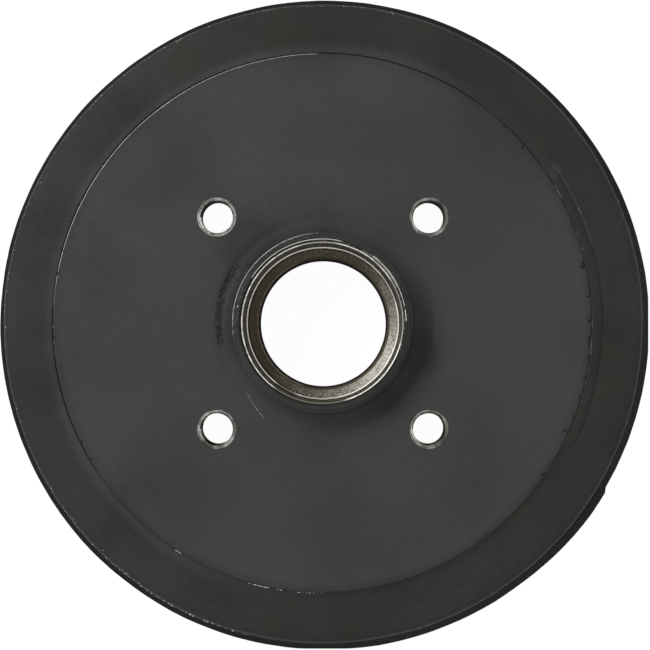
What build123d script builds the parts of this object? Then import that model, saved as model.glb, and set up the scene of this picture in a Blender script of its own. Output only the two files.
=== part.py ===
"""Rear brake drum with an integral wheel hub, for a four-bolt car wheel.

One grey iron casting carries the braking ring, the web and the hub, and the
outer rings (cups) of two taper roller bearings are pressed into the hub.
The drum stands on its open rim: the rim plane is z = 0, the wheel axis is
+Z and the wheel face looks up.  All sizes are millimetres and degrees.
"""
from build123d import *
from math import radians, tan
import os

# ---- braking ring
friction_diameter = 200.0      # new size of the shoe track
ring_wall = 7.0                # iron round the track, at the closed end
track_lead_in = 1.5            # bevel at the open end of the track
track_relief = 0.8             # the cast wall behind the track stands this much back
track_relief_width = 1.0       # cast wall between the track and the web's round
barrel_draft = 0.8             # growth of the outside's radius down to the flange
barrel_corner_radius = 2.5     # round from the shoulder onto the outside

# ---- open end flange
flange_overhang = 8.8          # beyond the foot of the outside
flange_thickness = 13.0
flange_edge_radius = 2.2
flange_neck_radius = 5.0       # round between flange and outside
groove_wall = 4.5              # iron between the track and the groove
groove_width = 5.5             # labyrinth groove for the backplate's lip
groove_depth = 6.0
groove_floor_radius = 1.2

# ---- web and wheel face
face_height = 55.0             # wheel face above the open rim
shoulder_width = 17.1          # cast ring round the turned wheel face
pad_step = 1.2                 # the shoulder ring lies this much lower
pad_bevel = 0.3
shoulder_wall = 8.0            # web under the shoulder ring
web_corner_radius = 3.0        # round from the web into the braking ring
land_margin = 17.0             # thicker middle of the web, beyond the bolt circle
land_rise = 0.8                # its back stands this much proud
land_edge_radius = 0.5

# ---- wheel bolt holes, M12 x 1.5
bolt_circle_diameter = 100.0
bolt_count = 4
bolt_first_angle = 45.0
bolt_core_diameter = 10.5      # bore left inside the thread
bolt_sink_width = 1.25         # countersinks, wider than the bore all round
bolt_back_sink_width = 0.9
bolt_sink_angle = 90.0

# ---- bearing cups
outer_cup_diameter = 51.4
outer_cup_width = 12.0
outer_cup_lip = 0.9            # wall at the thin end of the cup
outer_cup_angle = 12.0         # raceway against the wheel axis
inner_cup_diameter = 59.1
inner_cup_width = 11.8
inner_cup_lip = 1.5
inner_cup_angle = 14.0
cup_outside_bevel = 0.25
cup_inside_bevel = 0.15

# ---- hub bores
core_step = 0.45               # cast bore's shoulder inside the outer cup's raceway
mouth_step = 0.4               # the mouth, which seats the grease cap, is this much wider
mouth_depth = 16.0
mouth_bevel = 0.9
outer_cup_setback = 3.6        # cup's face below the mouth's floor
seal_step = 2.95               # the seal's seat is this much wider than the inner cup
seal_depth = 9.0
seal_bevel = 1.2

# ---- hub outside
spigot_wall = 2.9              # iron round the mouth
spigot_height = 20.0           # above the wheel face
spigot_bevel = 1.0
spigot_foot_radius = 6.0       # cast foot on the wheel face
boss_wall = 5.5                # iron round the seal's seat
boss_height = 6.0              # the hub's rear end above the open rim
boss_draft = 1.0               # growth of its radius up to the web
boss_root_radius = 4.0
boss_edge_radius = 2.0

# ---- heights and radii that follow
shoulder_height = face_height - pad_step
shoulder_back = shoulder_height - shoulder_wall
land_back = shoulder_back - land_rise
track_end = shoulder_back - web_corner_radius - track_relief_width
spigot_end = face_height + spigot_height
mouth_floor = spigot_end - mouth_depth
outer_cup_face = mouth_floor - outer_cup_setback
outer_cup_seat = outer_cup_face - outer_cup_width
seal_floor = boss_height + seal_depth
inner_cup_seat = seal_floor + inner_cup_width

friction_radius = friction_diameter / 2
relief_radius = friction_radius + track_relief
barrel_radius = friction_radius + ring_wall
neck_radius = barrel_radius + barrel_draft
flange_radius = neck_radius + flange_overhang
groove_inner_radius = friction_radius + groove_wall
pad_radius = barrel_radius - shoulder_width
land_radius = bolt_circle_diameter / 2 + land_margin
bolt_core_radius = bolt_core_diameter / 2

outer_cup_radius = outer_cup_diameter / 2
outer_race_wide = outer_cup_radius - outer_cup_lip
outer_race_narrow = outer_race_wide - outer_cup_width * tan(radians(outer_cup_angle))
inner_cup_radius = inner_cup_diameter / 2
inner_race_wide = inner_cup_radius - inner_cup_lip
inner_race_narrow = inner_race_wide - inner_cup_width * tan(radians(inner_cup_angle))
core_radius = outer_race_narrow - core_step
mouth_radius = outer_cup_radius + mouth_step
spigot_radius = mouth_radius + spigot_wall
seal_radius = inner_cup_radius + seal_step
boss_radius = seal_radius + boss_wall
boss_root = boss_radius + boss_draft


def corner(profile, radius, height):
    """The corner of a section sketch that lies at this radius and height."""
    return profile.vertices().sort_by_distance((radius, height, 0))[0]


def circle_edges(body, radius, height):
    """The circular edges about the wheel axis at this radius and height."""
    return [
        edge
        for edge in body.edges().filter_by(GeomType.CIRCLE)
        if abs(edge.radius - radius) < 1e-3 and abs(edge.arc_center.Z - height) < 1e-3
    ]


# ---- the drum: a cast section turned about the wheel axis, then machined
with BuildPart() as brake_drum:
    with BuildSketch(Plane.XZ) as casting:
        with BuildLine():
            Polyline(
                (core_radius, boss_height),
                (boss_radius, boss_height),
                (boss_root, land_back),
                (land_radius, land_back),
                (land_radius, shoulder_back),
                (relief_radius, shoulder_back),
                (relief_radius, track_end),
                (friction_radius, track_end),
                (friction_radius, 0),
                (flange_radius, 0),
                (flange_radius, flange_thickness),
                (neck_radius, flange_thickness),
                (barrel_radius, shoulder_height),
                (pad_radius, shoulder_height),
                (pad_radius, face_height),
                (spigot_radius, face_height),
                (spigot_radius, spigot_end),
                (core_radius, spigot_end),
                close=True,
            )
        make_face()
        fillet(corner(casting, boss_radius, boss_height), boss_edge_radius)
        fillet(corner(casting, boss_root, land_back), boss_root_radius)
        fillet(corner(casting, land_radius, land_back), land_edge_radius)
        fillet(corner(casting, relief_radius, shoulder_back), web_corner_radius)
        fillet(corner(casting, flange_radius, 0), flange_edge_radius)
        fillet(corner(casting, flange_radius, flange_thickness), flange_edge_radius)
        fillet(corner(casting, neck_radius, flange_thickness), flange_neck_radius)
        fillet(corner(casting, barrel_radius, shoulder_height), barrel_corner_radius)
        fillet(corner(casting, spigot_radius, face_height), spigot_foot_radius)
        chamfer(corner(casting, pad_radius, face_height), pad_bevel)
        chamfer(corner(casting, spigot_radius, spigot_end), spigot_bevel)
        chamfer(corner(casting, friction_radius, 0), track_lead_in)
    revolve(axis=Axis.Z)

    # labyrinth groove in the open rim
    with BuildSketch(Plane.XY):
        Circle(groove_inner_radius + groove_width)
        Circle(groove_inner_radius, mode=Mode.SUBTRACT)
    extrude(amount=groove_depth, mode=Mode.SUBTRACT)
    for wall_radius in (groove_inner_radius, groove_inner_radius + groove_width):
        fillet(circle_edges(brake_drum, wall_radius, groove_depth), groove_floor_radius)

    # hub bores: radius, and the two heights between which it runs
    for bore_radius, bore_low, bore_high in (
        (mouth_radius, mouth_floor, spigot_end),
        (outer_cup_radius, outer_cup_seat, mouth_floor),
        (inner_cup_radius, seal_floor, inner_cup_seat),
        (seal_radius, boss_height, seal_floor),
    ):
        with BuildSketch(Plane.XY.offset(bore_low)):
            Circle(bore_radius)
        extrude(amount=bore_high - bore_low, mode=Mode.SUBTRACT)
    chamfer(circle_edges(brake_drum, mouth_radius, spigot_end), mouth_bevel)
    chamfer(circle_edges(brake_drum, seal_radius, boss_height), seal_bevel)

    # wheel bolt holes, sunk from the wheel face and from the back of the web
    for plane, first_angle, sink_width in (
        (Plane.XY.offset(face_height), bolt_first_angle, bolt_sink_width),
        (Plane((0, 0, land_back), (1, 0, 0), (0, 0, -1)), -bolt_first_angle, bolt_back_sink_width),
    ):
        with Locations(plane):
            with PolarLocations(bolt_circle_diameter / 2, bolt_count, start_angle=first_angle):
                CounterSinkHole(
                    radius=bolt_core_radius,
                    counter_sink_radius=bolt_core_radius + sink_width,
                    counter_sink_angle=bolt_sink_angle,
                )
brake_drum.part.label = "brake_drum"

# ---- outer bearing cup: the raceway opens towards the mouth
with BuildPart() as outer_bearing_cup:
    with BuildSketch(Plane.XZ) as outer_cup_section:
        with BuildLine():
            Polyline(
                (outer_cup_radius, outer_cup_seat),
                (outer_cup_radius, outer_cup_face),
                (outer_race_wide, outer_cup_face),
                (outer_race_narrow, outer_cup_seat),
                close=True,
            )
        make_face()
        chamfer(corner(outer_cup_section, outer_cup_radius, outer_cup_seat), cup_outside_bevel)
        chamfer(corner(outer_cup_section, outer_cup_radius, outer_cup_face), cup_outside_bevel)
        chamfer(corner(outer_cup_section, outer_race_wide, outer_cup_face), cup_inside_bevel)
    revolve(axis=Axis.Z)
outer_bearing_cup.part.label = "outer_bearing_cup"

# ---- inner bearing cup: the raceway opens towards the rear end
with BuildPart() as inner_bearing_cup:
    with BuildSketch(Plane.XZ) as inner_cup_section:
        with BuildLine():
            Polyline(
                (inner_cup_radius, seal_floor),
                (inner_cup_radius, inner_cup_seat),
                (inner_race_narrow, inner_cup_seat),
                (inner_race_wide, seal_floor),
                close=True,
            )
        make_face()
        chamfer(corner(inner_cup_section, inner_cup_radius, seal_floor), cup_outside_bevel)
        chamfer(corner(inner_cup_section, inner_cup_radius, inner_cup_seat), cup_outside_bevel)
        chamfer(corner(inner_cup_section, inner_race_wide, seal_floor), cup_inside_bevel)
    revolve(axis=Axis.Z)
inner_bearing_cup.part.label = "inner_bearing_cup"

os.makedirs("parts", exist_ok=True)
export_step(brake_drum.part, "parts/brake_drum.step")
export_step(outer_bearing_cup.part, "parts/outer_bearing_cup.step")
export_step(inner_bearing_cup.part, "parts/inner_bearing_cup.step")
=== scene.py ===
"""Looks of the brake drum: a detailed casting, its bearing cups, finishes, light and camera.

Everything is in the frame of the CAD model: +Z along the wheel axis, the open rim on
z = 0.  Shapes are worked out in millimetres and scaled to metres when a mesh is made.
"""

import math

import bmesh
import bpy
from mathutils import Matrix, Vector, noise
from mathutils.geometry import delaunay_2d_cdt


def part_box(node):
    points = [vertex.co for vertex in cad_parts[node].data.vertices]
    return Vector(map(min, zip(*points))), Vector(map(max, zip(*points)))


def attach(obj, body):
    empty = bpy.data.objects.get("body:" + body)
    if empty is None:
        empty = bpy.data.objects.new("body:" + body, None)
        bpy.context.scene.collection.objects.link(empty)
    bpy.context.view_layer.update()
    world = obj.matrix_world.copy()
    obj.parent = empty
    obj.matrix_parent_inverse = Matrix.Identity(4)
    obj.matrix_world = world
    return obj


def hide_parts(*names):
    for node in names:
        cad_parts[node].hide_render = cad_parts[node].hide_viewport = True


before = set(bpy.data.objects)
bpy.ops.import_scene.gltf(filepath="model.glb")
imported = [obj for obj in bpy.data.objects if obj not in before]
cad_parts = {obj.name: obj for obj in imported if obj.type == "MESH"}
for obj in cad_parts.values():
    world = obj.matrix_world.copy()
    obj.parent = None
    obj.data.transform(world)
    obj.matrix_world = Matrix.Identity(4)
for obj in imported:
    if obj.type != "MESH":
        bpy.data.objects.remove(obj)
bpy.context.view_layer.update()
MM = 0.001

# ---------------------------------------------------------------- sizes, millimetres
drum_low, drum_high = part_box("brake_drum")
outer_cup_low, outer_cup_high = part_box("outer_bearing_cup")
inner_cup_low, inner_cup_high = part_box("inner_bearing_cup")

FLANGE_R = drum_high.x / MM
SPIGOT_TOP = drum_high.z / MM
SPIGOT_R, SPIGOT_BEVEL, SPIGOT_HEIGHT, FOOT_ROUND = 29.0, 1.0, 20.0, 6.0
FACE_Z = SPIGOT_TOP - SPIGOT_HEIGHT
PAD_R, PAD_BEVEL, PAD_STEP = 89.9, 0.3, 1.2    # the turned wheel face and its step down
SHOULDER_Z = FACE_Z - PAD_STEP
BARREL_R, BARREL_DRAFT, BARREL_ROUND = 107.0, 0.8, 2.5
FLANGE_Z, FLANGE_ROUND, NECK_ROUND = 13.0, 2.2, 5.0
FLANGE_SLOPE = (2.42, 1.1)     # the flange's sloping front edge: how far in, how far down
SLOPE_SPLITS = ((1.95, 0.2), (1.75, 0.3))      # two places on it where its wear and painted light change
RIM_SKIN = 3.2                 # how far in the open rim is as cast
GROOVE_IN, GROOVE_OUT, GROOVE_DEPTH, GROOVE_ROUND = 104.5, 110.0, 6.0, 1.2
TRACK_R, TRACK_LEAD, RELIEF, RELIEF_WIDTH, WEB_ROUND = 100.0, 1.5, 0.8, 1.0, 3.0
SHOULDER_BACK = SHOULDER_Z - 8.0
TRACK_END = SHOULDER_BACK - WEB_ROUND - RELIEF_WIDTH
LAND_R, LAND_ROUND, LAND_BACK = 67.0, 0.5, FACE_Z - 10.0
BOSS_R, BOSS_Z, BOSS_DRAFT, BOSS_ROOT, BOSS_EDGE = 38.0, 6.0, 1.0, 4.0, 2.0
CORE_R = 21.8
MOUTH_R, MOUTH_FLOOR = 25.8, SPIGOT_TOP - 16.0
CAP_BAND_Z = SPIGOT_TOP - 5.0  # above this the grease cap has rubbed the mouth bright
BURNISH_R, BURNISH_Z = 26.12, (SPIGOT_TOP - 1.45, SPIGOT_TOP - 1.28)   # slope that ends it
MOUTH_EDGE_R = 26.88           # where the next slope meets the spigot's flat end
SPIGOT_END_Z = SPIGOT_TOP - 1.6        # above this wheels and caps have rubbed the spigot
SEAL_R, SEAL_FLOOR, SEAL_BEVEL = 32.5, 15.0, 1.2
CUP_OUTSIDE_BEVEL, CUP_INSIDE_BEVEL = 0.25, 0.15
OUTER_LIP, OUTER_ANGLE = 0.74, 12.0
INNER_LIP, INNER_ANGLE = 1.5, 14.0
CUP_CLEARANCE = 0.02           # keeps the drum's seats off the cups' faces

BOLT_CIRCLE_R, BOLT_FIRST = 50.0, 45.0
BOLT_CORE_R, BOLT_SINK_R, BOLT_BACK_R = 5.25, 6.5, 6.15    # bore, and both ends' bevels
THREAD_PITCH, THREAD_DEPTH = 1.5, 0.75
BOLT_DIRT = (0.70, 0.0, 0.78, 0.68)   # how dirty each hole's thread is, 0 to 1

# radii where the lathed surfaces and the flat plates meet
HUB_R, PLATE_R = 37.0, 86.0             # on the wheel face
EDGE_END_R, SEAM_R = 94.2, 95.0         # on the shoulder
ROOT_R, LAND_PLATE_R = 43.3, 65.5       # behind the web

# segments round the axis
RIM_SEGMENTS = 384
EDGE_SEGMENTS = 3 * RIM_SEGMENTS   # the wheel face's edge
HUB_SEGMENTS = 384
BACK_SEGMENTS = 192            # open rim, track and the rear of the hub
BOLT_SEGMENTS = 48
CUP_SEGMENTS = 256

# the cast outside and the wheel face's edge lie a little off the axis of the hub
BARREL_SHIFT = (0.2, -0.2)
FLANGE_SHIFT = (0.40, -0.38)
EDGE_SHIFT = (-0.2, 0.1)
EDGE_INSET = 0.1               # how far inside its nominal radius that edge was turned
EDGE_FLAT = (86.6, 88.9)       # radii between which both fade in across the face

# finishes, in the order of the drum's material slots
PAINT, TURNED, TRACK, BORE, THREAD, BARE, SINK = range(7)
RACEWAY, GROUND = range(2)     # and of the cups'


# ---------------------------------------------------------------- marks of casting and wear, and painted light and shade
def smooth_step(value, low, high):
    t = min(1.0, max(0.0, (value - low) / (high - low)))
    return t * t * (3 - 2 * t)


def window(angle, first, last, soft):
    """1 between two angles, falling to 0 over soft degrees outside them."""
    turn = (angle - first) % 360
    width = (last - first) % 360
    return max(smooth_step(360 - turn, soft, 0), 1 - smooth_step(turn, width, width + soft))


def window_between(value, low, high, soft):
    """1 between two numbers, falling to 0 over soft outside them."""
    return smooth_step(value, low - soft, low) * (1 - smooth_step(value, high, high + soft))


def summed(angle, *marks):
    """Marks along the turn added up, each of them (strength, first, last, soft)."""
    return sum(strength * window(angle, *where) for strength, *where in marks)


def strongest(angle, *marks):
    """The strongest of marks along the turn."""
    return max(strength * window(angle, *where) for strength, *where in marks)


def cast_skin(x, y, z):
    """Outward offset of a sand cast surface, millimetres."""
    place = Vector((x, y, z))
    swell = noise.noise(place / 24.0)
    lumps = noise.noise(place / 7.0 + Vector((9, 4, 2)))
    grain = noise.noise(place / 2.6 + Vector((3, 7, 5)))
    return 0.12 * swell + 0.07 * lumps + 0.05 * grain


def cast_offset(z):
    """How far the cast outside lies off the axis at a height."""
    t = smooth_step(z, SHOULDER_Z - BARREL_ROUND, FLANGE_Z)
    return [a + (b - a) * t for a, b in zip(BARREL_SHIFT, FLANGE_SHIFT)]


def held_in_box(x, y):
    """A place held inside the drum's real size."""
    return (min(drum_high.x / MM, max(drum_low.x / MM, x)),
            min(drum_high.y / MM, max(drum_low.y / MM, y)))


def foot_rise(angle):
    """How proud the foot of the turned edge stands, 0 to 1: the turning ran out there."""
    return window(angle, -22, 31, 7)


def foot_groove(angle):
    """How much of a groove the tool left below the turned edge, 0 to 1."""
    return window(angle, 62, 205, 18)


def foot_reach(angle):
    """How far the foot runs out below the turned edge, by angle."""
    wobble = 0.35 * noise.noise(Vector((angle * 0.05, 5.2, 0)))
    return 2.0 + (1.1 + wobble) * foot_rise(angle)


def flange_bulge(angle):
    """Ragged lump on the flange's edge: it swells, then ends in a broken step."""
    rise = smooth_step(angle, 304, 325)
    ragged = 1.5 * noise.noise(Vector((angle * 0.9, 3.1, 0)))
    end = 1 - smooth_step(angle + ragged, 328.6, 330.2)
    return 0.85 * rise * end


def edge_nick(angle):
    """Depth of the dents along the wheel face's edge, deepest on the right."""
    side = 0.12 + 0.88 * window(angle, -50, 22, 12)
    return side * smooth_step(noise.noise(Vector((angle * 0.42, 1.7, 0))), 0.12, 0.5)


# short dark nicks running in from the wheel face's edge: angle, length and half width
NICKS = (
    (12.2, 4.4, 0.7), (12.9, 1.8, 1.1), (5.6, 2.0, 0.7), (24.0, 0.8, 0.5), (0.6, 1.6, 0.5),
    (-3.4, 1.9, 0.5), (-7.4, 2.0, 0.5), (-12.0, 1.5, 0.5), (-16.0, 1.3, 0.5), (-20.5, 1.4, 0.5),
    (-24.0, 2.4, 0.6), (-34.6, 1.6, 0.9),
    (41.2, 2.2, 0.5), (47.0, 1.2, 0.5), (20.0, 1.2, 0.4), (164.5, 1.6, 0.4), (169.4, 1.5, 0.4),
    (183.0, 1.8, 0.4), (187.0, 1.4, 0.4), (206.5, 1.3, 0.9), (210.5, 1.4, 0.8),
)


def nick(r, angle):
    """Depth of the nicks at a place on the wheel face, 0 to 1: ragged, from the edge in."""
    deepest = 0.0
    for at, length, half in NICKS:
        bend = 0.5 * noise.noise(Vector((at, 1.3 * r, 2.0)))
        off = abs(((angle - at + 180) % 360 - 180) * math.radians(r) + bend)
        if off < 2 * half:
            reach = length * (0.8 + 0.5 * noise.noise(Vector((2.6 * angle, at, 8.0))))
            near = window_between(r, PAD_R - 0.6 * reach, PAD_R + 0.1, 0.4 * reach)
            across = 1 - smooth_step(off, 0.25 * half, (0.6 + 0.6 * near) * half)
            ragged = 0.75 + 0.9 * noise.noise(Vector((2.1 * r, 3.3 * angle, at)))
            deepest = max(deepest, across * near * min(1.0, max(0.0, ragged)))
    return deepest


def edge_wear_and_light(r, angle):
    """Wear of the wheel face's edge, and of the groove and the foot below it, with painted
    highlight and painted shade along them.
    """
    if PAD_R - 0.2 < r < PAD_R + 0.05:      # the edge: bare on the upper left, worn and also a painted highlight, and dark on the right, painted shade
        return (0.20 + summed(angle, (0.58, 114, 152, 32), (0.30, 92, 98, 2), (0.20, 164, 186, 7),
                              (-0.80, -28, 50, 8)) - 1.1 * nick(r, angle))
    if PAD_R + 0.15 < r < PAD_R + 0.25:     # the groove, dark with painted shade on the upper and left side, and the foot's top where it is proud, a painted highlight on the right
        return (0.48 * window(angle, -12, 33, 5)
                - (0.62 + 0.33 * window(angle, 108, 162, 12)) * foot_groove(angle))
    if PAD_R + 0.3 < r < PAD_R + 0.5:       # short bare dashes at the bottom, and painted shade on the upper left
        dashes = strongest(angle, (0.56, 254.5, 258.5, 0.8), (0.46, 264, 270.5, 0.8),
                           (0.50, 260.2, 261.4, 0.5), (0.52, 237.0, 238.4, 0.4))
        return dashes - 0.75 * window(angle, 116, 160, 12)
    return -0.95 * nick(r, angle)


def spigot_wear_and_light(r, angle):
    """Wear of the spigot's end, from its outside in to the burnished band of the mouth, with a
    painted highlight along its outer edge.
    """
    if r > SPIGOT_R - 0.25:                 # outer edge: bare all round and most on the upper left, wear that is also a painted highlight there
        return 0.34 + summed(angle, (0.50, 112, 170, 25), (0.14, 142, 158, 8))
    if r > MOUTH_EDGE_R + 0.5:              # bevel and flat end
        return 0.05 + 0.27 * window(angle, 104, 208, 22)
    if r > MOUTH_EDGE_R + 0.2:              # dark ring round the mouth's edge
        return -0.52 + summed(angle, (-0.23, -10, 110, 20), (0.72, 28, 50, 4))
    if r > MOUTH_EDGE_R - 0.15:             # the mouth's edge
        return 0.10 + summed(angle, (0.80, 82, 142, 10), (0.46, 2, 52, 5), (0.14, 28, 52, 4))
    if r > BURNISH_R + 0.02:                # the slope inside it
        return strongest(angle, (0.90, 28, 58, 6), (0.40, -18, 110, 8))
    return -strongest(angle, (0.95, 236, 284, 8), (0.80, -12, 30, 8), (0.70, 82, 104, 8),
                      (0.42, 300, 350, 10), (0.22, 40, 140, 10))


def bore_darkening(r, z, angle):
    """Darkening of the outer cup's end in places, painted shade in the corner beside it, and
    painted shade in the core bore below, which stays pale only on the left.
    """
    if abs(z - outer_cup_high.z / MM) < 0.4:
        if r > outer_cup_high.x / MM - 0.2:
            return -0.95
        return -strongest(angle, (0.95, 236, 246, 9), (0.68, 20, 38, 9), (0.60, 256, 280, 8),
                          (0.33, 285, 70, 15), (0.22, 175, 230, 10))
    return -0.95 + 0.95 * window(angle, 120, 242, 15) if r < CORE_R + 0.8 else 0.0


def wear(r, z, angle):
    """How bare the metal is, 0 to 1, or below 0 where the skin is pitted and dark; in places the
    bare metal is a painted highlight and the dark is painted shade.
    """
    if abs(r - PAD_R) < 2.5 and z > SHOULDER_Z - 0.5:
        return edge_wear_and_light(r, angle)
    if z > SPIGOT_END_Z and r < SPIGOT_R + 0.1:
        return spigot_wear_and_light(r, angle)
    if r < MOUTH_R and z < CAP_BAND_Z:
        return bore_darkening(r, z, angle)
    if z < FACE_Z + 4.5 and r < BOSS_R:     # the hub's foot
        patch = window(angle, 150, 187, 14) * window_between(r, 33.8, 35.6, 0.9)
        lower = window(angle, 248, 290, 14) * window_between(r, 33.2, 35.8, 0.6)
        return 0.20 * lower - 0.53 * patch
    if abs(r - BARREL_R + 0.9) < 1.1 and z > SHOULDER_Z - BARREL_ROUND - 0.1:
        # the barrel's corner: bare specks, more on the upper left, wear that is also a painted
        # highlight there
        return 0.22 + (0.10 if r > BARREL_R - 1.1 else 0.03) * window(angle, 80, 232, 16)
    if r > FLANGE_R - 2.9 and z > FLANGE_Z - 1.3:
        if r < FLANGE_R - 1.9:              # the upper edge of the flange's slope: bare, most on the upper left, wear that is also a painted highlight there
            return 0.24 + 0.16 * window(angle, 80, 250, 14)
        # the rest of the slope: pitted dark, darkest over its upper and left side: painted shade
        return -0.46 - 0.30 * window(angle, 40, 250, 30)
    return 0.0


def cast_share_and_shade(r, z, angle):
    """How much the skin is as cast, 0 on the wheel face to 1 on the braking ring. Its darker
    rough coat also serves as painted shade, and the paler smooth coat as painted light, in the
    places marked below.
    """
    if r < BOSS_R:
        # the spigot's end: its inner slope in the darker rough coat, painted shade where it faces
        # in, and its flat end darker everywhere but the upper left, painted shade
        if z > SPIGOT_END_Z and r < SPIGOT_R - 0.3:
            return 1.0 if r < MOUTH_EDGE_R else 0.62 + 0.25 * window(angle, 235, 100, 15)
        # the hub's foot: darker rough coat in a cast patch on the upper left, and on the right as
        # painted shade where the spigot's shadow falls
        low = 1.0 - smooth_step(z, FACE_Z + 1.8, FACE_Z + 3.2)
        return 0.12 + 0.33 * low * summed(angle, (1, 112, 190, 16), (1, 300, 5, 20))
    if z > SHOULDER_Z + 0.5:                # the wheel face, rougher at its edge
        return (0.30 + 0.22 * window(angle, 200, 50, 40)) * smooth_step(r, PAD_R - 3.8, PAD_R)
    if z > SHOULDER_Z - 0.3:                # the shoulder: paler smooth coat near the edge over the upper and left side, painted light, and the darker rough coat up to the edge on the right, painted shade
        painted_lit_share = summed(angle, (0.35, 38, 245, 15), (0.38, 72, 104, 16), (0.36, 205, 236, 14))
        return (painted_lit_share * smooth_step(r, PAD_R + 1.6, PAD_R + 4.0)
                + (1 - painted_lit_share) * smooth_step(r, PAD_R, PAD_R + 0.3))
    return 1.0


# ---------------------------------------------------------------- section profiles
def rounded(corners, degrees_per_point=15, shortest=0.11):
    """Corners (r, z, round, finish, cast) to points (r, z, finish, cast), with arcs.

    The finish is that of the run that starts at the corner, and cast is how much the
    point follows the casting rather than the machining.  An arc has at least two runs,
    and more of them only while none is under degrees_per_point or the shortest length.
    """
    points = []
    for i, (r, z, radius, finish, cast) in enumerate(corners):
        if radius == 0:
            points.append((r, z, finish, cast))
            continue
        here = Vector((r, z))
        back = (Vector(corners[i - 1][:2]) - here).normalized()
        ahead = (Vector(corners[i + 1][:2]) - here).normalized()
        half = back.angle(ahead) / 2
        centre = here + (back + ahead).normalized() * (radius / math.sin(half))
        start = here + back * (radius / math.tan(half)) - centre
        end = here + ahead * (radius / math.tan(half)) - centre
        turn = math.atan2(start.x * end.y - start.y * end.x, start.dot(end))
        count = max(2, min(round(abs(math.degrees(turn)) / degrees_per_point),
                           round(radius * abs(turn) / shortest)))
        before = corners[i - 1][3]
        for k in range(count + 1):
            a = turn * k / count
            spoke = Vector((start.x * math.cos(a) - start.y * math.sin(a),
                            start.x * math.sin(a) + start.y * math.cos(a)))
            points.append((*(centre + spoke), before if k < count / 2 else finish, cast))
    return points


def refined(points, longest):
    """The same points, with more between them so that no run is over longest."""
    out = []
    for (r0, z0, finish, cast0), (r1, z1, _, cast1) in zip(points, points[1:]):
        count = max(1, math.ceil(math.hypot(r1 - r0, z1 - z0) / longest))
        for k in range(count):
            t = k / count
            out.append((r0 + (r1 - r0) * t, z0 + (z1 - z0) * t, finish,
                        cast0 + (cast1 - cast0) * t))
    out.append(points[-1])
    return out


# ---------------------------------------------------------------- a mesh in the making
def circle(radius, height, count):
    """Points round the axis."""
    turns = [2 * math.pi * j / count for j in range(count)]
    return [(radius * math.cos(a), radius * math.sin(a), height) for a in turns]


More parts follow.
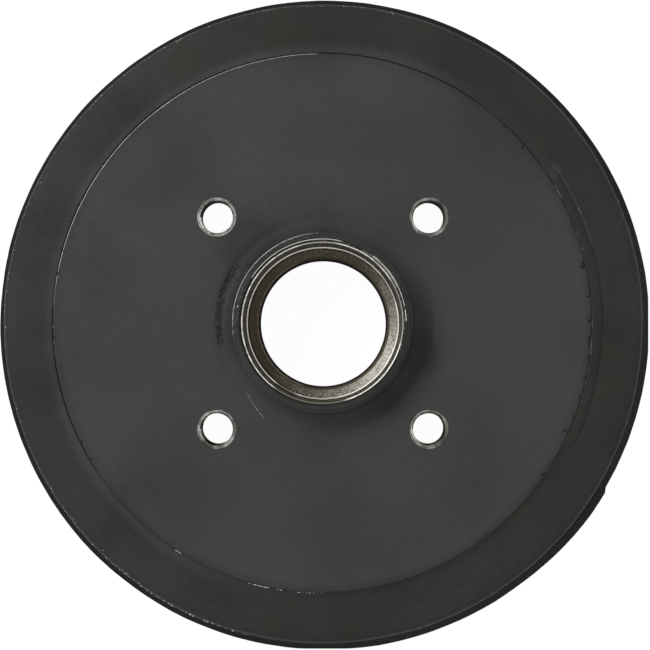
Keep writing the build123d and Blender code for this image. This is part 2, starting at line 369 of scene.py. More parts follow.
class Maker:
    """Collects points, faces and their finishes, in millimetres."""

    def __init__(self):
        self.points, self.wears, self.cast_and_shade_shares = [], [], []
        self.faces, self.finishes = [], []

    def add_points(self, points, wears=None, cast_and_shade_shares=None):
        start = len(self.points)
        self.points.extend(points)
        self.wears.extend(wears or [0.0] * len(points))
        self.cast_and_shade_shares.extend(cast_and_shade_shares or [0.0] * len(points))
        return range(start, start + len(points))

    def add_face(self, corners, finish):
        self.faces.append(tuple(corners))
        self.finishes.append(finish)

    def join_rings(self, ring, other, finish):
        """Quads between two closed rings, or fans where one has a multiple of points."""
        coarse, fine = (ring, other) if len(ring) < len(other) else (other, ring)
        times = len(fine) // len(coarse)
        half = times // 2
        for j in range(len(coarse)):
            a, b = coarse[j], coarse[(j + 1) % len(coarse)]
            run = [fine[(j * times + k) % len(fine)] for k in range(times + 1)]
            for k in range(half):
                self.add_face((a, run[k + 1], run[k]), finish)
            self.add_face((a, b, run[half + 1], run[half]), finish)
            for k in range(half + 1, times):
                self.add_face((b, run[k + 1], run[k]), finish)

    def add_lathe(self, points, count, offset=None):
        """A surface of revolution through section points.

        Cast points get the cast skin and the flange's lump, and are moved aside by
        offset(height).
        """
        rings = []
        for i, (r, z, finish, cast) in enumerate(points):
            before, after = points[max(0, i - 1)], points[min(len(points) - 1, i + 1)]
            along = Vector((after[0] - before[0], after[1] - before[1])).normalized()
            ring, wears, cast_and_shade_shares = [], [], []
            for j in range(count):
                angle = j * 360 / count
                c, s = math.cos(math.radians(angle)), math.sin(math.radians(angle))
                lift = cast * cast_skin(r * c, r * s, z) if cast else 0.0
                radius = r - lift * along.y
                if r > BARREL_R + 3:
                    radius += flange_bulge(angle) * cast
                aside = offset(z) if offset else (0, 0)
                x = radius * c + aside[0] * cast
                y = radius * s + aside[1] * cast
                ring.append((*held_in_box(x, y), max(0.0, z + lift * along.x)))
                wears.append(wear(r, z, angle))
                cast_and_shade_shares.append(cast_share_and_shade(r, z, angle))
            rings.append(self.add_points(ring, wears, cast_and_shade_shares))
        for k, point in enumerate(points[:-1]):
            self.join_rings(rings[k], rings[k + 1], point[2])
        return rings

    def add_plate(self, height, loops, finish):
        """A flat plate: the first loop is its outside, the rest are holes.

        Each loop is (centre x, centre y, radius, count, support): the support is how
        much wider a second circle is, which keeps the shading of the round next to the
        loop off the plate.
        """
        flat, edges = [], []
        for x, y, radius, count, support in loops:
            for distance in (radius, radius + support):
                start = len(flat)
                for j in range(count):
                    a = 2 * math.pi * j / count
                    flat.append(Vector((x + distance * math.cos(a),
                                        y + distance * math.sin(a))))
                    edges.append((start + j, start + (j + 1) % count))
        points, _, triangles = delaunay_2d_cdt(flat, edges, [], 0, 1e-7)[:3]
        corners = self.add_points([(p.x, p.y, height) for p in points])
        for triangle in triangles:
            middle = sum((points[k] for k in triangle), Vector((0, 0))) / 3
            inside = [
                math.hypot(middle.x - x, middle.y - y) < radius * math.cos(math.pi / count)
                for x, y, radius, count, _ in loops
            ]
            if inside[0] and not any(inside[1:]):
                self.add_face([corners[k] for k in triangle], finish)

    def add_threaded_hole(self, x, y, front, back, dirt):
        """A threaded wheel bolt hole with its sink in front and its bevel behind.

        Each row is one turn of a helix, so a row's end meets the start of the row a
        whole pitch on.
        """
        thread = (  # along one pitch: share of the pitch, share of the thread's depth
            (0.0, 0.0), (0.25, 0.0), (0.40625, 0.5), (0.5625, 1.0), (0.6875, 1.0), (0.84375, 0.5),
        )
        turns = math.ceil((front - back) / THREAD_PITCH) + 1
        rows = []
        for lap in range(-1, turns):
            for share, rise in thread:
                row = []
                for j in range(BOLT_SEGMENTS):
                    z = back + THREAD_PITCH * (lap + share + j / BOLT_SEGMENTS)
                    z = min(front, max(back, z))
                    radius = max(BOLT_CORE_R + THREAD_DEPTH * rise,
                                 BOLT_SINK_R - (front - z), BOLT_BACK_R - (z - back))
                    if z == front:
                        radius = BOLT_SINK_R
                    elif z == back:
                        radius = BOLT_BACK_R
                    a = 2 * math.pi * j / BOLT_SEGMENTS
                    row.append((x + radius * math.cos(a), y + radius * math.sin(a), z))
                patches = [1 + 2.2 * noise.noise(Vector((u, v, dirt)) / 2.6) for u, v, _ in row]
                films = [-min(1.0, max(0.0, dirt * patch)) for patch in patches]
                rows.append(self.add_points(row, films))
        lap = len(thread)
        around = [(rows[k][j], rows[k][j + 1], rows[k + 1][j + 1], rows[k + 1][j])
                  for k in range(len(rows) - 1) for j in range(BOLT_SEGMENTS - 1)]
        around += [(rows[k][-1], rows[k + lap][0], rows[k + lap + 1][0], rows[k + 1][-1])
                   for k in range(len(rows) - 1 - lap)]
        sink_end = front - (BOLT_SINK_R - BOLT_CORE_R) - 0.15
        for corners in around:
            sunk = min(self.points[c][2] for c in corners) > sink_end
            self.add_face(corners, SINK if sunk else THREAD)

    def mesh(self, name, sharp_degrees=28, same_place=2e-7):
        """The mesh in metres, smooth but for its sharp edges."""
        data = bpy.data.meshes.new(name)
        data.from_pydata([(x * MM, y * MM, z * MM) for x, y, z in self.points], [], self.faces)
        data.polygons.foreach_set("material_index", self.finishes)
        for label, values in (("wear", self.wears), ("cast", self.cast_and_shade_shares)):
            data.attributes.new(label, "FLOAT", "POINT").data.foreach_set("value", values)
        work = bmesh.new()
        work.from_mesh(data)
        bmesh.ops.remove_doubles(work, verts=work.verts, dist=same_place)
        bmesh.ops.dissolve_degenerate(work, edges=work.edges, dist=same_place)
        bmesh.ops.recalc_face_normals(work, faces=work.faces)
        limit = math.radians(sharp_degrees)
        for face in work.faces:
            face.smooth = True
        for edge in work.edges:
            edge.smooth = edge.is_manifold and edge.calc_face_angle(0) < limit
        work.to_mesh(data)
        work.free()
        return data


# ---------------------------------------------------------------- the drum
def edge_rings(maker):
    """Rings of the wheel face's turned edge, the narrow groove below it and its foot."""
    edge = (  # radius, height below the face, how far a dent moves it in
        (86.6, 0.0, 0.0), (87.2, 0.0, 0.0), (87.8, 0.0, 0.0), (88.4, 0.0, 0.0), (88.9, 0.0, 0.5),
        (89.3, 0.0, 0.9), (PAD_R - PAD_BEVEL, 0.0, 1.0), (PAD_R - 0.15, 0.06, 0.9),
        (PAD_R - 0.04, 0.17, 0.8), (PAD_R, PAD_BEVEL, 0.5),
    )
    foot = (  # distance out, share of the reach, height above the shoulder:
        # where the foot stands proud, where it is grooved, and elsewhere
        (0.10, 0.0, 0.88, 0.00, 0.66), (0.20, 0.0, 0.80, -0.36, 0.50),
        (0.32, 0.0, 0.95, -0.14, 0.38), (0.45, 0.0, 0.98, 0.20, 0.30),
        (0.60, 0.10, 0.97, 0.18, 0.22), (0.60, 0.50, 0.86, 0.09, 0.09),
        (0.60, 0.80, 0.62, 0.02, 0.02), (0.60, 0.94, 0.16, 0.0, 0.0), (0.60, 1.0, 0.0, 0.0, 0.0),
    )
    turns = [j * 360 / EDGE_SEGMENTS for j in range(EDGE_SEGMENTS)]
    rings = []
    for radius, drop, moved in edge:
        ring, wears, cast_and_shade_shares = [], [], []
        for angle in turns:
            r, a = radius - 0.7 * edge_nick(angle) * moved, math.radians(angle)
            lower = max(drop * (1 - 0.45 * foot_rise(angle)), 0.30 * nick(radius, angle))
            aside = smooth_step(radius, *EDGE_FLAT)
            r -= EDGE_INSET * aside
            ring.append((r * math.cos(a) + aside * EDGE_SHIFT[0],
                         r * math.sin(a) + aside * EDGE_SHIFT[1], FACE_Z - lower))
            wears.append(wear(radius, FACE_Z - drop, angle))
            cast_and_shade_shares.append(cast_share_and_shade(radius, FACE_Z - drop, angle))
        rings.append(maker.add_points(ring, wears, cast_and_shade_shares))
    for out, share, proud, grooved, plain in foot:
        ring, wears, cast_and_shade_shares = [], [], []
        for angle in turns:
            a, rise, cut = math.radians(angle), foot_rise(angle), foot_groove(angle)
            cut *= 0.75 + 0.5 * window(angle, 115, 160, 15)
            r = PAD_R + out + share * foot_reach(angle) - EDGE_INSET * (1 - share)
            z = SHOULDER_Z + plain + (proud - plain) * rise + (grooved - plain) * cut
            aside = 1 - 0.5 * share
            x = r * math.cos(a) + aside * EDGE_SHIFT[0]
            y = r * math.sin(a) + aside * EDGE_SHIFT[1]
            ring.append((x, y, z + share * cast_skin(x, y, z)))
            # the foot's end is a painted highlight line where it stands proud: paler coat and
            # bare specks along the ridge
            ridge_highlight = window(angle, 17, 34, 1.5) if share > 0.9 else 0.0
            cast_and_shade_shares.append(cast_share_and_shade(r, SHOULDER_Z, angle) * (1 - ridge_highlight))
            if share < 0.2:
                wears.append(wear(PAD_R + out, SHOULDER_Z, angle))
            else:
                wears.append(0.37 * window(angle, 17, 33.5, 2) if share == 1.0 else 0.0)
        rings.append(maker.add_points(ring, wears, cast_and_shade_shares))
    return rings


def drum_mesh():
    maker = Maker()

    # turned edge of the wheel face and its cast foot
    rings = edge_rings(maker)
    seam, cast_and_shade_shares = [], []
    for x, y, z in circle(EDGE_END_R, SHOULDER_Z, EDGE_SEGMENTS):
        seam.append((x, y, z + cast_skin(x, y, z)))
        cast_and_shade_shares.append(cast_share_and_shade(EDGE_END_R, z, math.degrees(math.atan2(y, x)) % 360))
    rings.append(maker.add_points(seam, None, cast_and_shade_shares))
    rings.insert(0, maker.add_points(circle(PLATE_R, FACE_Z, RIM_SEGMENTS)))
    for ring, outer in zip(rings, rings[1:]):
        maker.join_rings(ring, outer, PAINT)

    # shoulder, barrel and flange
    outside = rounded([
        (SEAM_R, SHOULDER_Z, 0, PAINT, 1), (BARREL_R, SHOULDER_Z, BARREL_ROUND, PAINT, 1),
        (BARREL_R + BARREL_DRAFT, FLANGE_Z, NECK_ROUND, PAINT, 1),
        (FLANGE_R - FLANGE_SLOPE[0], FLANGE_Z, 0.5, PAINT, 1),
        *((FLANGE_R - inward, FLANGE_Z - down, 0, PAINT, 1) for inward, down in SLOPE_SPLITS),
        (FLANGE_R, FLANGE_Z - FLANGE_SLOPE[1], 0.35, PAINT, 1),
        (FLANGE_R, 0, FLANGE_ROUND, PAINT, 1), (FLANGE_R - RIM_SKIN, 0, 0, TURNED, 0),
    ])
    # open rim with its groove, shoe track and the back of the web
    inside = rounded([
        (GROOVE_OUT + 1.0, 0, 0, TURNED, 0), (GROOVE_OUT, 0, 0.2, TURNED, 0),
        (GROOVE_OUT, GROOVE_DEPTH, GROOVE_ROUND, TURNED, 0),
        (GROOVE_IN, GROOVE_DEPTH, GROOVE_ROUND, TURNED, 0), (GROOVE_IN, 0, 0.2, TURNED, 0),
        (TRACK_R + TRACK_LEAD, 0, 0, TURNED, 0), (TRACK_R, TRACK_LEAD, 0.3, TRACK, 0),
        (TRACK_R, TRACK_END, 0, PAINT, 0), (TRACK_R + RELIEF, TRACK_END, 0, PAINT, 0),
        (TRACK_R + RELIEF, SHOULDER_BACK, WEB_ROUND, PAINT, 0.6),
        (LAND_R, SHOULDER_BACK, 0.4, PAINT, 0.4), (LAND_R, LAND_BACK, LAND_ROUND, TURNED, 0),
        (LAND_PLATE_R, LAND_BACK, 0, TURNED, 0),
    ])
    rings_out = maker.add_lathe(refined(outside, 4.5), RIM_SEGMENTS, cast_offset)
    maker.join_rings(rings_out[0], rings[-1], PAINT)
    rings_in = maker.add_lathe(refined(inside, 9.0), BACK_SEGMENTS, cast_offset)
    maker.join_rings(rings_out[-1], rings_in[0], TURNED)

    # rear of the hub: from the back of the web round its end and up through its bores
    inner_seat, outer_seat = (cup.x / MM + CUP_CLEARANCE
                              for cup in (inner_cup_high, outer_cup_high))
    core_low, core_high = inner_cup_high.z / MM, outer_cup_low.z / MM
    rear = rounded([
        (ROOT_R, LAND_BACK, 0, PAINT, 0), (BOSS_R + BOSS_DRAFT, LAND_BACK, BOSS_ROOT, PAINT, 0.3),
        (BOSS_R, BOSS_Z, BOSS_EDGE, PAINT, 0.6), (SEAL_R + SEAL_BEVEL + 1, BOSS_Z, 0, TURNED, 0),
        (SEAL_R + SEAL_BEVEL, BOSS_Z, 0.15, TURNED, 0),
        (SEAL_R, BOSS_Z + SEAL_BEVEL, 0.15, BORE, 0), (SEAL_R, SEAL_FLOOR, 0.2, BORE, 0),
        (inner_seat, SEAL_FLOOR, 0.1, BORE, 0), (inner_seat, core_low, 0, BORE, 0),
        (CORE_R, core_low, 0.3, PAINT, 0.3), (CORE_R, core_high, 0.3, BORE, 0),
        (outer_seat, core_high, 0, BORE, 0), (outer_seat, MOUTH_FLOOR, 0, BORE, 0),
        (MOUTH_R - 0.1, MOUTH_FLOOR, 0, BORE, 0),
    ])
    # mouth, end of the spigot, and its wall with the foot
    mouth = [
        (MOUTH_R, MOUTH_FLOOR, BORE, 0), (MOUTH_R, CAP_BAND_Z, BARE, 0),
        (MOUTH_R, BURNISH_Z[0], BARE, 0), (BURNISH_R, BURNISH_Z[1], PAINT, 0),
    ]
    end = rounded([
        (BURNISH_R, BURNISH_Z[1], 0, PAINT, 0), (MOUTH_EDGE_R, SPIGOT_TOP, 0.12, PAINT, 0),
        (MOUTH_EDGE_R + 0.3, SPIGOT_TOP, 0, PAINT, 0),
        (SPIGOT_R - SPIGOT_BEVEL, SPIGOT_TOP, 0.2, PAINT, 0),
        (SPIGOT_R - 0.28, SPIGOT_TOP - SPIGOT_BEVEL + 0.28, 0, PAINT, 0),
        (SPIGOT_R, SPIGOT_TOP - SPIGOT_BEVEL, 0.12, PAINT, 0),
        (SPIGOT_R, SPIGOT_TOP - 2, 0, PAINT, 0.18),
    ], degrees_per_point=9)
    wall = rounded([
        (SPIGOT_R, SPIGOT_TOP - 2, 0, PAINT, 0.18), (SPIGOT_R, SPIGOT_TOP - 8, 0, PAINT, 0.7),
        (SPIGOT_R, FACE_Z, FOOT_ROUND, PAINT, 0.7), (HUB_R - 0.6, FACE_Z, 0, PAINT, 0.5),
        (HUB_R, FACE_Z, 0, PAINT, 0),
    ], degrees_per_point=6)
    rings_rear = maker.add_lathe(refined(rear, 5.0), BACK_SEGMENTS)
    rings_mouth = maker.add_lathe(refined(mouth, 3.0), HUB_SEGMENTS)
    maker.join_rings(rings_rear[-1], rings_mouth[0], BORE)
    maker.add_lathe(refined(end, 0.45), HUB_SEGMENTS)
    maker.add_lathe(refined(wall, 1.2), HUB_SEGMENTS)

    # wheel bolt holes, and the flat faces that they join
    face = [(0, 0, PLATE_R, RIM_SEGMENTS, -1.0), (0, 0, HUB_R, HUB_SEGMENTS, 0.6)]
    land = [(0, 0, LAND_PLATE_R, BACK_SEGMENTS, -1.0), (0, 0, ROOT_R, BACK_SEGMENTS, 0.1)]
    for k, dirt in enumerate(BOLT_DIRT):
        a = math.radians(BOLT_FIRST + 360 * k / len(BOLT_DIRT))
        x, y = BOLT_CIRCLE_R * math.cos(a), BOLT_CIRCLE_R * math.sin(a)
        maker.add_threaded_hole(x, y, FACE_Z, LAND_BACK, dirt)
        face.append((x, y, BOLT_SINK_R, BOLT_SEGMENTS, 0.4))
        land.append((x, y, BOLT_BACK_R, BOLT_SEGMENTS, 0.2))
    maker.add_plate(FACE_Z, face, PAINT)
    maker.add_plate(LAND_BACK, land, TURNED)
    return maker.mesh("drum_casting")


def cup_mesh(name, low, high, lip, angle, opens_up):
    """A taper bearing cup: a closed ring with its raceway inside."""
    radius, bottom, top = high.x / MM, low.z / MM, high.z / MM
    wide = radius - lip
    narrow = wide - (top - bottom) * math.tan(math.radians(angle))
    over, under = (wide, narrow) if opens_up else (narrow, wide)
    bevel, fine = CUP_OUTSIDE_BEVEL, CUP_INSIDE_BEVEL
    section = rounded([
        (under + 1.0, bottom, 0, RACEWAY, 0), (under, bottom, fine, RACEWAY, 0),
        (over, top, fine, GROUND, 0), (radius - bevel, top, 0.1, GROUND, 0),
        (radius, top - bevel, 0.1, GROUND, 0), (radius, bottom + bevel, 0.1, GROUND, 0),
        (radius - bevel, bottom, 0.1, GROUND, 0), (under + 1.0, bottom, 0, GROUND, 0),
    ], shortest=0.02)
    maker = Maker()
    maker.add_lathe(refined(section, 2.0), CUP_SEGMENTS)
    return maker.mesh(name)


# ---------------------------------------------------------------- materials
class Shader:
    """A material of procedural nodes; its inputs take numbers, colours or sockets."""

    def __init__(self, name):
        self.material = bpy.data.materials.new(name)
        self.material.use_nodes = True
        self.tree = self.material.node_tree
        self.tree.nodes.clear()
        metres = self.node("TexCoord").outputs["Object"]
        self.place = self.node("VectorMath", {0: metres, "Scale": 1 / MM},
                               operation="SCALE").outputs[0]
        self.x, self.y, self.z = self.node("SeparateXYZ", {0: self.place}).outputs

    def node(self, kind, inputs=(), **settings):
        made = self.tree.nodes.new("ShaderNode" + kind)
        for key, value in settings.items():
            setattr(made, key, value)
        for key, value in dict(inputs).items():
            if isinstance(value, bpy.types.NodeSocket):
                self.tree.links.new(value, made.inputs[key])
            else:
                made.inputs[key].default_value = value
        return made

    def math(self, operation, *values):
        return self.node("Math", dict(enumerate(values)), operation=operation).outputs[0]

    def span(self, value, low, high, to_low=0.0, to_high=1.0):
        """A value's place between low and high, clamped, as a number in another span."""
        inputs = {0: value, 1: low, 2: high, 3: to_low, 4: to_high}
        return self.node("MapRange", inputs, interpolation_type="SMOOTHSTEP").outputs[0]

    def noise(self, vector, size, detail=2.0, seed=0.0):
        """Noise of a feature size in millimetres."""
        moved = self.node("VectorMath", {0: vector, 1: (seed, 2 * seed, -seed)}).outputs[0]
        inputs = {"Vector": moved, "Scale": 1 / size, "Detail": detail}
        return self.node("TexNoise", inputs).outputs[0]

    def mix(self, factor, first, second):
        """A mix of two colours."""
        inputs = {0: factor, 6: (*first, 1) if isinstance(first, tuple) else first,
                  7: (*second, 1) if isinstance(second, tuple) else second}
        return self.node("Mix", inputs, data_type="RGBA").outputs[2]

    def blend(self, factor, first, second):
        """A mix of two numbers."""
        return self.node("Mix", {0: factor, 2: first, 3: second}).outputs[0]

    def polar(self, x, y):
        """Radius and turn, in radians, about an axis along Z."""
        squares = self.math("ADD", self.math("MULTIPLY", x, x), self.math("MULTIPLY", y, y))
        return self.math("SQRT", squares), self.math("ARCTAN2", y, x)

    def distance(self, x, y):
        """Distance from a line along Z."""
        return self.polar(self.math("SUBTRACT", self.x, x), self.math("SUBTRACT", self.y, y))[0]

    def rings(self, radius, turn, length):
        """A vector that changes fast across the tool's path and slowly along it."""
        along = self.math("MULTIPLY", turn, length)
        return self.node("CombineXYZ", {0: radius, 1: along, 2: self.z}).outputs[0]

    def bump(self, height, microns, under=None):
        inputs = {"Height": height, "Distance": microns * 1e-6, "Strength": 1.0}
        if under is not None:
            inputs["Normal"] = under
        return self.node("Bump", inputs).outputs[0]

    def finish(self, **inputs):
        shader = self.node("BsdfPrincipled", {k.replace("_", " "): v for k, v in inputs.items()})
        self.node("OutputMaterial", {"Surface": shader.outputs[0]})
        return self.material


# bare metal, also painted highlight, and pits, also painted shade
METAL_AND_HIGHLIGHT = (0.60, 0.59, 0.55)
PIT_AND_SHADE = (0.0040, 0.0038, 0.0034)
# the coat at its palest and at its darkest, which stains and painted shade reach, and its olive
# tint
SMOOTH_COAT = ((0.0478, 0.0479, 0.0476), (0.0275, 0.0276, 0.0272), (0.0400, 0.0405, 0.0330))
ROUGH_COAT = ((0.0275, 0.0276, 0.0268), (0.0175, 0.0175, 0.0166), (0.0225, 0.0228, 0.0165))
# broad darker and lighter patches of the coat, painted light and shade with some stains: x, y,
# reach, and how much darker
PAINTED_LIGHT_AND_STAINS = (
    # on the wheel face: painted light and shade
    (52, 52, 46, 1.20), (48, -50, 34, 0.62), (58, -2, 28, -0.60), (-54, 54, 36, 0.80),
    (-82, 0, 34, 0.80), (0, 100, 28, 0.80), (24, 70, 20, 0.30), (-20, 66, 24, -0.25),
    (-50, -52, 31, 0.75), (-70, -22, 20, -0.30), (10, -72, 29, 0.65), (74, 2, 16, 0.50),
    # round the hub's foot: painted shade, darkest on the right where the spigot's shadow falls,
    # and painted light at its lower left
    (-25, 26, 14, 2.40), (31, -10, 12, 2.90), (21, -24, 9, 2.20), (0, 34, 10, 1.10),
    (-25, -23, 13, -1.40), (0, -38, 12, 0.80),
    # at the edge and beyond it
    (105, 8, 17, -0.50), (78.0, 51.6, 2.4, -2.6), (77.0, 49.4, 1.7, -1.8),
)
ROUGH_PATCH = (-26.0, 4.0)     # middle of the mottled dirt at the left of the hub's foot
SCRATCH_TURN, SCRATCH_SWEEP = -140, 18         # the scratch on that foot, in degrees
SCRATCH_R = (33.8, 37.1)                       # its radius at either end


def painted(name):
    """Satin black coat on iron: worn to bare metal in places, pitted in others, with painted
    light and shade: bare metal as painted highlights on edges that face the key, dark pits as
    painted shade in grooves and on sides away from it, and broad darker and lighter patches.

    It is smoother and a little paler on turned faces than on the cast skin.
    """
    s = Shader(name)
    wear_and_light = s.node("Attribute", attribute_name="wear").outputs["Fac"]
    cast = s.node("Attribute", attribute_name="cast").outputs["Fac"]
    radius, turn = s.polar(s.x, s.y)
    broad = s.noise(s.place, 30, 3, seed=3)
    olive = s.noise(s.place, 17, 2, seed=41)
    grain = s.noise(s.place, 0.45, 3, seed=11)
    lumps = s.noise(s.place, 2.4, 3, seed=23)
    streaks = s.noise(s.rings(radius, turn, 7.0), 0.35, 2, seed=31)
    spots = s.noise(s.place, 0.8, 3, seed=57)
    flecks = s.noise(s.place, 0.62, 3, seed=61)

    # painted light and shade: the wheel face is painted lighter towards the right, and the cast
    # band darker there
    side = s.span(s.math("ADD", s.x, s.math("MULTIPLY", s.y, -0.3)), -110, 110)
    mottle = s.span(s.noise(s.place, 1.5, 4, seed=71), 0.25, 0.75, -0.32, 0.32)
    rougher = s.math("MULTIPLY", s.span(s.distance(*ROUGH_PATCH), 17, 9, 0.0, 6.0),
                     s.span(radius, 36.0, 34.0))
    mottle = s.math("MULTIPLY", mottle, s.math("ADD", rougher, 1.0))
    tone = s.math("ADD", s.math("MULTIPLY", broad, 2.6), mottle)
    # the patches: painted light and shade, and stains
    for x, y, reach, darker in PAINTED_LIGHT_AND_STAINS:
        blotch = s.span(s.distance(x, y), reach, 0.2 * reach, 0.0, darker)
        tone = s.math("ADD", tone, blotch)
    face_tone = s.math("ADD", tone, s.math("MULTIPLY", side, -0.45))
    ring_tone = s.math("ADD", tone, s.math("MULTIPLY", side, 0.60))
    smooth_coat = s.mix(s.span(face_tone, 0.30, 3.30), *SMOOTH_COAT[:2])
    rough_coat = s.mix(s.span(ring_tone, 0.95, 2.30), *ROUGH_COAT[:2])
    tint = s.math("MULTIPLY", s.span(olive, 0.50, 0.68), s.blend(cast, 0.15, 0.5))
    colour = s.mix(tint, s.mix(cast, smooth_coat, rough_coat),
                   s.mix(cast, SMOOTH_COAT[2], ROUGH_COAT[2]))

    # pits and painted shade, bare metal and painted highlights, and the scratch on the hub's foot
    pit_and_shade_depth = s.math("ADD", s.math("MULTIPLY", wear_and_light, -1.0), s.math("MULTIPLY", spots, -1.0))
    pits_and_shade = s.span(pit_and_shade_depth, -0.14, 0.06)
    colour = s.mix(pits_and_shade, colour, PIT_AND_SHADE)
    bare_and_highlight = s.span(s.math("SUBTRACT", wear_and_light, s.blend(cast, streaks, flecks)), -0.06, 0.04)
    along = s.math("DIVIDE", s.math("SUBTRACT", turn, math.radians(SCRATCH_TURN)),
                   math.radians(SCRATCH_SWEEP))
    line = s.math("ADD", s.math("MULTIPLY", along, SCRATCH_R[1] - SCRATCH_R[0]), SCRATCH_R[0])
    off = s.math("ABSOLUTE", s.math("SUBTRACT", radius, line))
    length = s.math("MULTIPLY", s.span(along, 0.0, 0.4), s.span(along, 1.05, 0.9))
    scratch = s.math("MULTIPLY", s.span(off, 0.22, 0.08), length)
    scratch = s.math("MULTIPLY", scratch, s.span(spots, 0.38, 0.58, 0.05, 0.34))
    bare_and_highlight = s.math("MAXIMUM", bare_and_highlight, scratch)

    height = s.math("MULTIPLY", grain, s.blend(cast, 0.35, 1.0))
    normal = s.bump(height, 20, s.bump(s.math("MULTIPLY", lumps, s.blend(cast, 0.12, 1.0)), 26))
    normal = s.bump(s.math("MULTIPLY", pits_and_shade, s.math("SUBTRACT", grain, 1.0)), 60, normal)
    satin = s.math("ADD", s.blend(cast, 0.52, 0.60), s.span(broad, 0.3, 0.7, -0.04, 0.04))
    return s.finish(
        Base_Color=s.mix(bare_and_highlight, colour, METAL_AND_HIGHLIGHT), Metallic=bare_and_highlight,
        Roughness=s.blend(bare_and_highlight, satin, 0.42), Specular_IOR_Level=0.18, Normal=normal,
    )


def turned(name, pale, dark, roughness, groove_microns, about_bolts=False, film=0.5,
           pitch=0.16):
    """Bare turned metal with the tool's fine rings and a film of oil or dirt.

    The film is whole where the wear attribute is below zero: dirt in places, painted shade
    in others.  With about_bolts the rings run round each bolt hole rather than round the hub.
    """
    s = Shader(name)
    x, y = s.x, s.y
    if about_bolts:
        offset = BOLT_CIRCLE_R * math.cos(math.radians(BOLT_FIRST))
        x = s.math("SUBTRACT", s.math("ABSOLUTE", x), offset)
        y = s.math("SUBTRACT", s.math("ABSOLUTE", y), offset)
    radius, turn = s.polar(x, y)
    lines = s.noise(s.rings(radius, turn, 1.5), pitch, 2)
    blotch = s.noise(s.place, 3.5, 3, seed=5)
    speck = s.noise(s.place, 0.9, 3, seed=17)
    both = s.math("ADD", s.math("MULTIPLY", blotch, 0.5), s.math("MULTIPLY", speck, 0.7))
    dirt = s.span(both, 0.48, 0.72)
    wear_and_light = s.node("Attribute", attribute_name="wear").outputs["Fac"]
    dirt = s.math("MAXIMUM", s.math("MULTIPLY", dirt, film), s.math("MULTIPLY", wear_and_light, -1.0))
    return s.finish(
        Base_Color=s.mix(dirt, pale, dark), Metallic=1.0,
        Roughness=s.span(lines, 0.3, 0.7, roughness - 0.06, roughness + 0.08),
        Normal=s.bump(lines, groove_microns, s.bump(speck, groove_microns / 2)),
    )


# bearing steel, and its brown oil film, whose colour also serves as painted shade
RACE_STEEL, RACE_OIL_SHADE = (0.62, 0.60, 0.53), (0.088, 0.074, 0.050)
LIT_SIDE, PALER_SIDE = -34, 78      # degrees: the painted lit side, where the film is thinnest, and a side where it is a little thinner


def raceway(name, low, high):
    """Ground bearing steel under a brown film of oil, thin on the side that faces the key and
    whole away from it: painted light and painted shade.

    The film is whole just above the cup's low end, and darkest below its high end.
    """
    s = Shader(name)
    low_z, high_z = low.z / MM, high.z / MM
    radius, turn = s.polar(s.x, s.y)
    lines = s.noise(s.rings(radius, turn, 3.0), 0.09, 2)
    film = s.noise(s.place, 5.0, 3, seed=7)
    speck = s.noise(s.place, 0.8, 4, seed=13)
    # painted light and shade: the film thins towards the side that faces the key
    facing = s.math("COSINE", s.math("SUBTRACT", turn, math.radians(LIT_SIDE)))
    away = s.math("ADD", s.math("SUBTRACT", 1.0, facing), s.span(film, 0.3, 0.7, -0.12, 0.12))
    oil_and_shade = s.math("MULTIPLY", 0.9, s.math("SQRT", s.math("MAXIMUM", away, 0.0)))
    toward_paler = s.math("COSINE", s.math("SUBTRACT", turn, math.radians(PALER_SIDE)))
    oil_and_shade = s.math("MINIMUM", s.span(toward_paler, 0.4, 1.0, 1.0, 0.91), oil_and_shade)
    oil_and_shade = s.math("MAXIMUM", oil_and_shade, s.span(s.z, low_z + 1.5, low_z + 0.8))
    patchy = s.math("MULTIPLY", s.span(speck, 0.36, 0.64, -0.32, 0.32),
                    s.span(oil_and_shade, 0.99, 0.80, 0.15, 1.0))
    oil_and_shade = s.math("MINIMUM", 1.0, s.math("MAXIMUM", 0.0, s.math("ADD", oil_and_shade, patchy)))
    cover = s.span(speck, 0.44, 0.60, 0.0, 0.85)
    steel = s.mix(cover, RACE_STEEL, tuple(0.45 * c for c in RACE_STEEL))
    oil_shade = s.mix(s.span(s.z, high_z - 2.9, high_z - 1.7),
                RACE_OIL_SHADE, tuple(0.3 * c for c in RACE_OIL_SHADE))
    tangent = s.node("Tangent", direction_type="RADIAL", axis="Z").outputs[0]
    return s.finish(
        Base_Color=s.mix(oil_and_shade, steel, oil_shade), Metallic=1.0,
        Roughness=s.span(speck, 0.3, 0.7, 0.50, 0.66),
        Anisotropic=0.9, Anisotropic_Rotation=0.25, Tangent=tangent,
        Normal=s.bump(lines, 2.0, s.bump(speck, 14.0)),
    )


paint = painted("satin_coat")
bare_iron = turned("turned_iron", (0.30, 0.29, 0.27), (0.12, 0.10, 0.08), 0.42, 6)
shoe_track = turned("shoe_track", (0.26, 0.25, 0.24), (0.16, 0.14, 0.11), 0.40, 5)
oily_bore = turned("oily_bore", (0.12, 0.10, 0.075), (0.04, 0.034, 0.025), 0.42, 5)
bolt_thread = turned("bolt_thread", (0.060, 0.055, 0.048), (0.020, 0.018, 0.016), 0.45, 7,
                     about_bolts=True)
rubbed_iron = turned("rubbed_iron", (0.96, 0.94, 0.86), (0.115, 0.105, 0.085), 0.34, 4, film=0.62)
bolt_sink = turned("bolt_sink", (0.68, 0.67, 0.63), (0.22, 0.21, 0.185), 0.40, 24,
                   about_bolts=True, film=0.8, pitch=0.40)
ground_steel = turned("ground_steel", (0.83, 0.81, 0.74), (0.16, 0.145, 0.115), 0.36, 3, film=0.2)
outer_raceway = raceway("outer_raceway", outer_cup_low, outer_cup_high)
inner_raceway = raceway("inner_raceway", inner_cup_low, inner_cup_high)


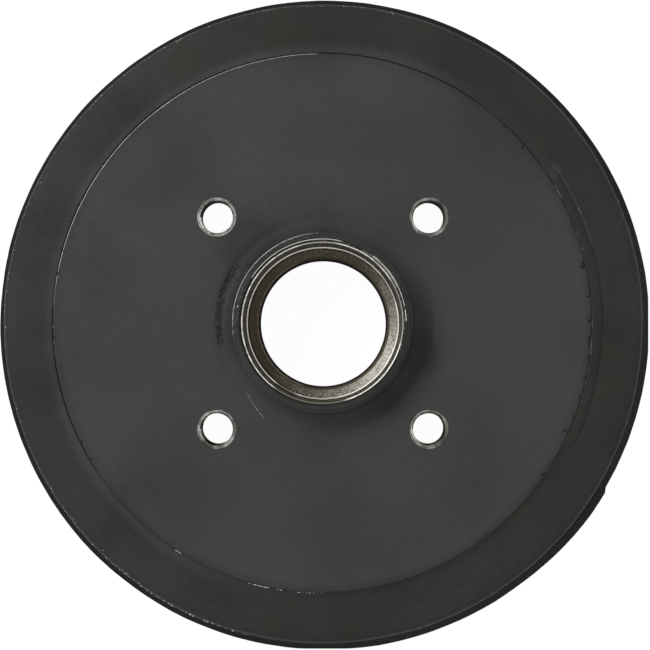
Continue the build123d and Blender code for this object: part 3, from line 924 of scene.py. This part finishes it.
# ---------------------------------------------------------------- pieces
def add_piece(name, mesh, materials, node):
    piece = bpy.data.objects.new(name, mesh)
    bpy.context.scene.collection.objects.link(piece)
    for material in materials:
        mesh.materials.append(material)
    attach(piece, "root")
    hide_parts(node)


add_piece("drum_casting", drum_mesh(),
          [paint, bare_iron, shoe_track, oily_bore, bolt_thread, rubbed_iron, bolt_sink],
          "brake_drum")
outer_cup_mesh = cup_mesh("outer_cup", outer_cup_low, outer_cup_high, OUTER_LIP, OUTER_ANGLE,
                          opens_up=True)
add_piece("outer_cup", outer_cup_mesh, [outer_raceway, ground_steel],
          "outer_bearing_cup")
inner_cup_mesh = cup_mesh("inner_cup", inner_cup_low, inner_cup_high, INNER_LIP, INNER_ANGLE,
                          opens_up=False)
add_piece("inner_cup", inner_cup_mesh, [inner_raceway, ground_steel],
          "inner_bearing_cup")

# ---------------------------------------------------------------- floor
FLOOR_R, FLOOR_SEGMENTS = 6000.0, 96
FLOOR_Z = -0.05                # just under the open rim
FOOTPRINT_R = 118.0            # the drum hides the floor from reflections inside this

floor_maker = Maker()
floor_maker.add_face(floor_maker.add_points(circle(FLOOR_R, FLOOR_Z, FLOOR_SEGMENTS)), 0)
floor_mesh = floor_maker.mesh("floor")
floor = bpy.data.objects.new("floor", floor_mesh)
bpy.context.scene.collection.objects.link(floor)


def floor_material():
    """Pale floor: white to the camera and in reflections, and it keeps a soft shadow."""
    s = Shader("floor")
    path = s.node("LightPath").outputs
    radius, _ = s.polar(s.x, s.y)
    outside = s.span(radius, FOOTPRINT_R, FOOTPRINT_R + 25)
    glossy = s.math("MULTIPLY", path["Is Glossy Ray"], outside)
    mirrored = s.math("MAXIMUM", glossy, path["Is Transmission Ray"])
    seen = s.math("MAXIMUM", path["Is Camera Ray"], mirrored)
    pale = s.node("BsdfDiffuse", {"Color": (0.8, 0.8, 0.8, 1)}).outputs[0]
    shadow = s.node("BsdfDiffuse", {"Color": (0.10, 0.10, 0.10, 1)}).outputs[0]
    white = s.node("Emission", {"Color": (1, 1, 1, 1), "Strength": 0.97}).outputs[0]
    lit = s.node("AddShader", {0: white, 1: shadow}).outputs[0]
    both = s.node("MixShader", {0: seen, 1: pale, 2: lit}).outputs[0]
    s.node("OutputMaterial", {"Surface": both})
    return s.material


floor_mesh.materials.append(floor_material())

# ---------------------------------------------------------------- light
WORLD_LEVEL = 0.40


def studio_world():
    """An even soft light all round, white to the camera and in reflections."""
    world = bpy.data.worlds.new("studio")
    world.use_nodes = True
    nodes, links = world.node_tree.nodes, world.node_tree.links
    path = nodes.new("ShaderNodeLightPath").outputs
    seen = None
    for ray in ("Is Camera Ray", "Is Glossy Ray", "Is Transmission Ray"):
        either = nodes.new("ShaderNodeMath")
        either.operation = "MAXIMUM"
        links.new(path[ray], either.inputs[0])
        either.inputs[1].default_value = WORLD_LEVEL
        if seen:
            links.new(seen, either.inputs[1])
        seen = either.outputs[0]
    nodes["Background"].inputs["Color"].default_value = (1, 1, 1, 1)
    links.new(seen, nodes["Background"].inputs["Strength"])
    return world


bpy.context.scene.world = studio_world()


def add_softbox(name, place, size, watts):
    """A square soft light, aimed at the drum; place and size are in metres."""
    lamp = bpy.data.lights.new(name, "AREA")
    lamp.shape, lamp.size, lamp.energy = "SQUARE", size, watts
    lamp_object = bpy.data.objects.new(name, lamp)
    lamp_object.location = place
    lamp_object.rotation_euler = (-Vector(place)).to_track_quat("-Z", "Y").to_euler()
    bpy.context.scene.collection.objects.link(lamp_object)


add_softbox("key", place=(-1.72, 1.20, 3.64), size=1.9, watts=90.0)

# ---------------------------------------------------------------- camera
CAMERA_HEIGHT = 550.0          # above the wheel face
FRAME_WIDTH = 216.52           # seen across the frame at the wheel face
FRAME_PIXELS = 650
SENSOR = 36.0
CAMERA_ASIDE = (4.0, -4.0)     # of the drum's axis
AXIS_PIXEL = (322.3, 322.7)    # where the axis meets the wheel face, from the top left

per_mm = FRAME_PIXELS / FRAME_WIDTH
middle = (FRAME_PIXELS - 1) / 2
lens_data = bpy.data.cameras.new("camera")
lens_data.sensor_width = SENSOR
lens_data.lens = SENSOR * CAMERA_HEIGHT / FRAME_WIDTH
lens_data.shift_x = -(AXIS_PIXEL[0] + CAMERA_ASIDE[0] * per_mm - middle) / FRAME_PIXELS
lens_data.shift_y = (AXIS_PIXEL[1] - CAMERA_ASIDE[1] * per_mm - middle) / FRAME_PIXELS
camera = bpy.data.objects.new("camera", lens_data)
camera.location = (CAMERA_ASIDE[0] * MM, CAMERA_ASIDE[1] * MM, (FACE_Z + CAMERA_HEIGHT) * MM)
bpy.context.scene.collection.objects.link(camera)
bpy.context.scene.camera = camera

bpy.context.scene.view_settings.view_transform = "Standard"
